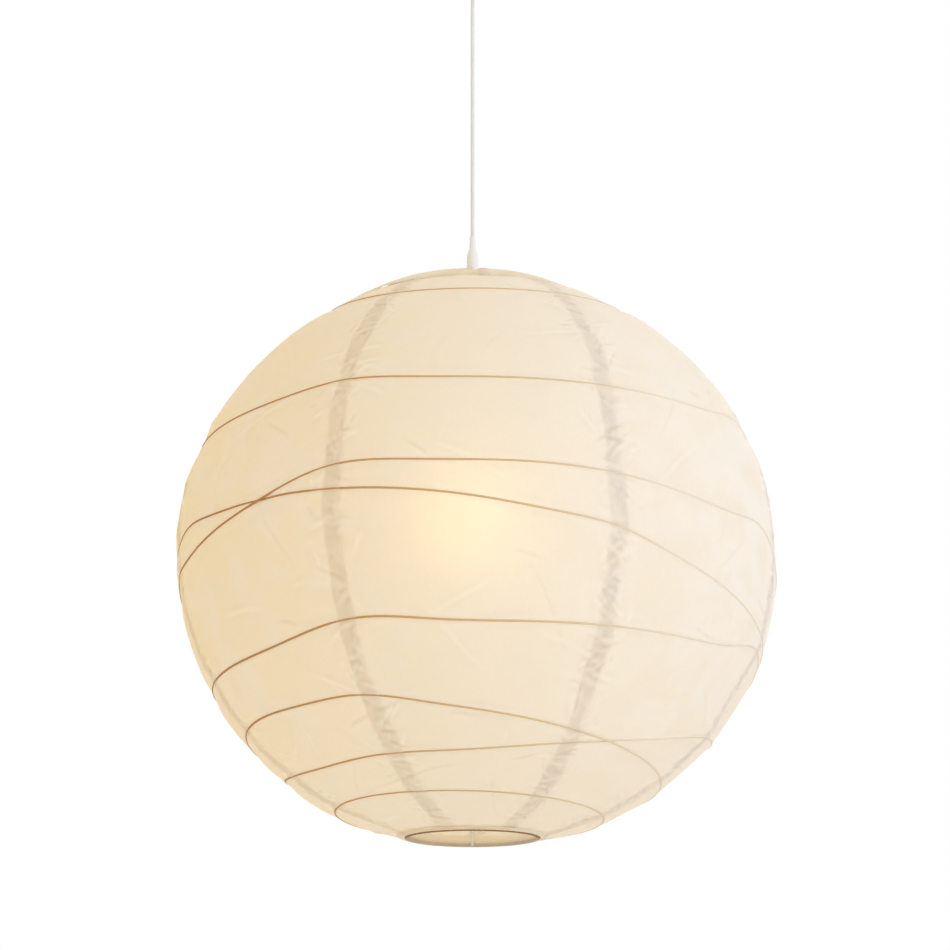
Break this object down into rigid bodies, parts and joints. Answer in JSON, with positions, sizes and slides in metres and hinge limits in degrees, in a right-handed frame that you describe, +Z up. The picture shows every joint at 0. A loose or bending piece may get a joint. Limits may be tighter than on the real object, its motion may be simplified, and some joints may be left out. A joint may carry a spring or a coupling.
{
  "type": "paper globe pendant lantern",
  "caption": "Round paper pendant lantern over thin hoops of uneven tilt, stretched by an inner wire frame, with lampholder, bulb, cord and ceiling rose.",
  "frame": {"origin": "on the ceiling, at the middle of the ceiling rose, on the line of the cord", "axes": "+Z up along the cord, -Y towards the front, +X to the right seen from the front"},
  "size_m": [0.45, 0.45, 0.737],
  "materials": {
    "zinc_steel": "zinc plated",
    "white_plastic": "satin moulded",
    "nylon": "natural nylon",
    "white_pvc": "smooth flexible PVC",
    "conductor_insulation": "PVC insulated",
    "steatite": "unglazed",
    "brass": "bright",
    "coated_wire": "white lacquered wire",
    "hoop": "split bamboo",
    "collar_paper": "doubled rice paper",
    "rice_paper": "white rice paper, wrinkled",
    "nickel_cap": "nickel plated",
    "black_glass": "black vitrite",
    "bulb_body": "moulded",
    "led_board": "white solder mask",
    "opal": "opal polycarbonate"
  },
  "bodies": {
    "rose": {"ceiling_plate": "zinc_steel", "threaded_nipple": "zinc_steel", "plate_nut": "zinc_steel", "cup_nut": "zinc_steel", "terminal_block": "nylon", "ceiling_cup": "white_plastic", "cord_tail": "white_pvc"},
    "grommet": {"cord_grommet": "white_plastic"},
    "cord": {"cord": "white_pvc"},
    "lantern": {"strain_relief": "white_plastic", "holder_stem": "white_plastic", "inner_cord": "white_pvc", "conductors": "conductor_insulation", "holder_cap": "white_plastic", "holder_skirt": "white_plastic", "insulator_block": "steatite", "terminal_screws": "zinc_steel", "screw_shell": "brass", "centre_contact": "brass", "shade_ring": "white_plastic", "stretcher_yoke": "coated_wire", "stretcher_leg_front": "coated_wire", "stretcher_leg_back": "coated_wire", "top_ring": "coated_wire", "top_collar": "collar_paper", "paper_gore_1": "rice_paper", "paper_gore_2": "rice_paper", "paper_gore_3": "rice_paper", "paper_gore_4": "rice_paper", "paper_gore_5": "rice_paper", "paper_gore_6": "rice_paper", "paper_gore_7": "rice_paper"},
    "shade_foot": {"bottom_ring": "coated_wire", "bottom_collar": "collar_paper"},
    "bulb_tip": {"bulb_contact": "nickel_cap"},
    "bulb": {"bulb_cap": "nickel_cap", "bulb_insulator": "black_glass", "bulb_housing": "bulb_body", "led_board": "led_board", "bulb_diffuser": "opal"},
    "rib_1": {"rib_1": "hoop"},
    "rib_2": {"rib_2": "hoop"},
    "rib_3": {"rib_3": "hoop"},
    "rib_4": {"rib_4": "hoop"},
    "rib_5": {"rib_5": "hoop"},
    "rib_6": {"rib_6": "hoop"},
    "rib_7": {"rib_7": "hoop"},
    "rib_8": {"rib_8": "hoop"}
  },
  "joints": [
    {"name": "swing_side", "type": "hinge", "parent": "rose", "child": "grommet", "pos_m": [0, 0, -0.054], "axis": [0, 1, 0], "range_deg": [-15, 15]},
    {"name": "swing_fore", "type": "hinge", "parent": "grommet", "child": "cord", "pos_m": [0, 0, -0.054], "axis": [1, 0, 0], "range_deg": [-15, 15]},
    {"name": "lantern_twist", "type": "hinge", "parent": "cord", "child": "lantern", "pos_m": [0, 0, -0.262], "axis": [0, 0, 1], "range_deg": [-180, 180]},
    {"name": "shade_fold", "type": "slide", "parent": "lantern", "child": "shade_foot", "axis": [0, 0, 1], "range_m": [0, 0.37], "deforming": ["paper_gore_1", "paper_gore_2", "paper_gore_3", "paper_gore_4", "paper_gore_5", "paper_gore_6", "paper_gore_7", "top_collar"]},
    {"name": "rib_1_lift", "type": "hinge", "parent": "lantern", "child": "rib_1", "pos_m": [-0.00048, 0.04231, -0.33698], "axis": [-0.9999, -0.0114, 0], "range_deg": [0, 7.83]},
    {"name": "rib_2_lift", "type": "slide", "parent": "lantern", "child": "rib_2", "axis": [0, 0, 1], "range_m": [0, 0.11208]},
    {"name": "rib_3_lift", "type": "hinge", "parent": "lantern", "child": "rib_3", "pos_m": [0.10896, -1.26051, -0.44804], "axis": [0.9963, 0.0861, 0], "range_deg": [0, 9.31]},
    {"name": "rib_4_lift", "type": "hinge", "parent": "lantern", "child": "rib_4", "pos_m": [-0.90933, -0.83517, -0.45474], "axis": [0.6764, -0.7365, 0], "range_deg": [0, 10.57]},
    {"name": "rib_5_lift", "type": "slide", "parent": "lantern", "child": "rib_5", "axis": [0, 0, 1], "range_m": [0, 0.26798]},
    {"name": "rib_6_lift", "type": "hinge", "parent": "lantern", "child": "rib_6", "pos_m": [1.34313, 1.99227, -0.51383], "axis": [-0.8292, 0.559, 0], "range_deg": [0, 7.69]},
    {"name": "rib_7_lift", "type": "hinge", "parent": "lantern", "child": "rib_7", "pos_m": [-2.5456, -1.30856, -0.51807], "axis": [0.4572, -0.8894, 0], "range_deg": [0, 6.47]},
    {"name": "rib_8_lift", "type": "slide", "parent": "lantern", "child": "rib_8", "axis": [0, 0, 1], "range_m": [0, 0.35704]},
    {"name": "bulb_unscrew", "type": "slide", "parent": "lantern", "child": "bulb_tip", "axis": [0, 0, -1], "range_m": [0, 0.0255]},
    {"name": "bulb_turn", "type": "hinge", "parent": "bulb_tip", "child": "bulb", "pos_m": [0, 0, -0.43], "axis": [0, 0, -1], "range_deg": [0, 2530.88]}
  ],
  "couplings": [
    {"joint": "rib_1_lift", "follows": "shade_fold", "rad_per_m": 0.36937},
    {"joint": "rib_2_lift", "follows": "shade_fold", "ratio": 0.30274},
    {"joint": "rib_3_lift", "follows": "shade_fold", "rad_per_m": 0.43887},
    {"joint": "rib_4_lift", "follows": "shade_fold", "rad_per_m": 0.49829},
    {"joint": "rib_5_lift", "follows": "shade_fold", "ratio": 0.72389},
    {"joint": "rib_6_lift", "follows": "shade_fold", "rad_per_m": 0.36268},
    {"joint": "rib_7_lift", "follows": "shade_fold", "rad_per_m": 0.30517},
    {"joint": "rib_8_lift", "follows": "shade_fold", "ratio": 0.96447},
    {"joint": "bulb_turn", "follows": "bulb_unscrew", "rad_per_m": 1731.4}
  ]
}
